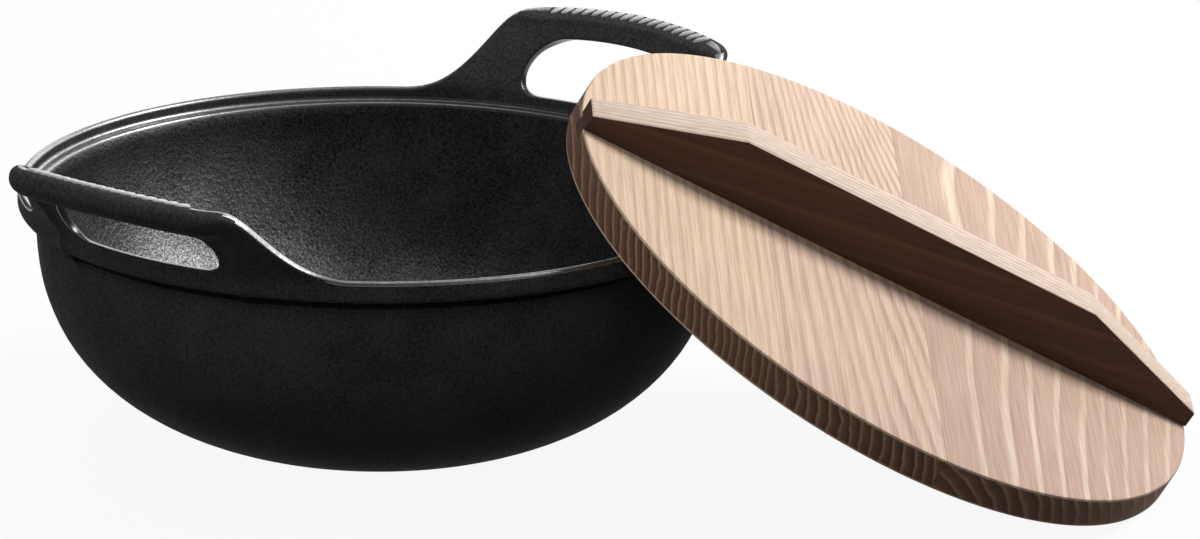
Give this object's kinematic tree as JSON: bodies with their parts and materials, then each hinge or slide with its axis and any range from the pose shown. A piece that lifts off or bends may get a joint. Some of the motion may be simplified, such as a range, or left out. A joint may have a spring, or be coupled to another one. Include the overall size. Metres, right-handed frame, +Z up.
{
  "type": "cast iron wok",
  "caption": "Deep cast iron wok on a flat foot, with flared loop ears and a stepped rim, and a lift-off round plank lid with a tall handle batten leaning against the rim.",
  "frame": {"origin": "centre of the wok's flat foot, on the surface it stands on", "axes": "+Z up along the bowl's axis, +X through the ear at the back of the picture, +Y across"},
  "size_m": [0.4161, 0.4716, 0.1629],
  "materials": {
    "iron": "matte seasoned black, sand-cast grain inside",
    "board": "planed softwood, unvarnished",
    "batten": "planed softwood, unvarnished",
    "pin": "split bamboo"
  },
  "bodies": {
    "wok": {"wok_body": "iron"},
    "lid": {"lid_plank_upper": "board", "lid_plank_middle": "board", "lid_plank_lower": "board", "lid_batten": "batten", "lid_pin_1": "pin", "lid_pin_2": "pin", "lid_pin_3": "pin", "lid_pin_4": "pin"}
  },
  "joints": [
    {"name": "lid_lift", "type": "slide", "parent": "wok", "child": "lid", "axis": [0, 0, 1], "range_m": [0, 0.2]}
  ]
}
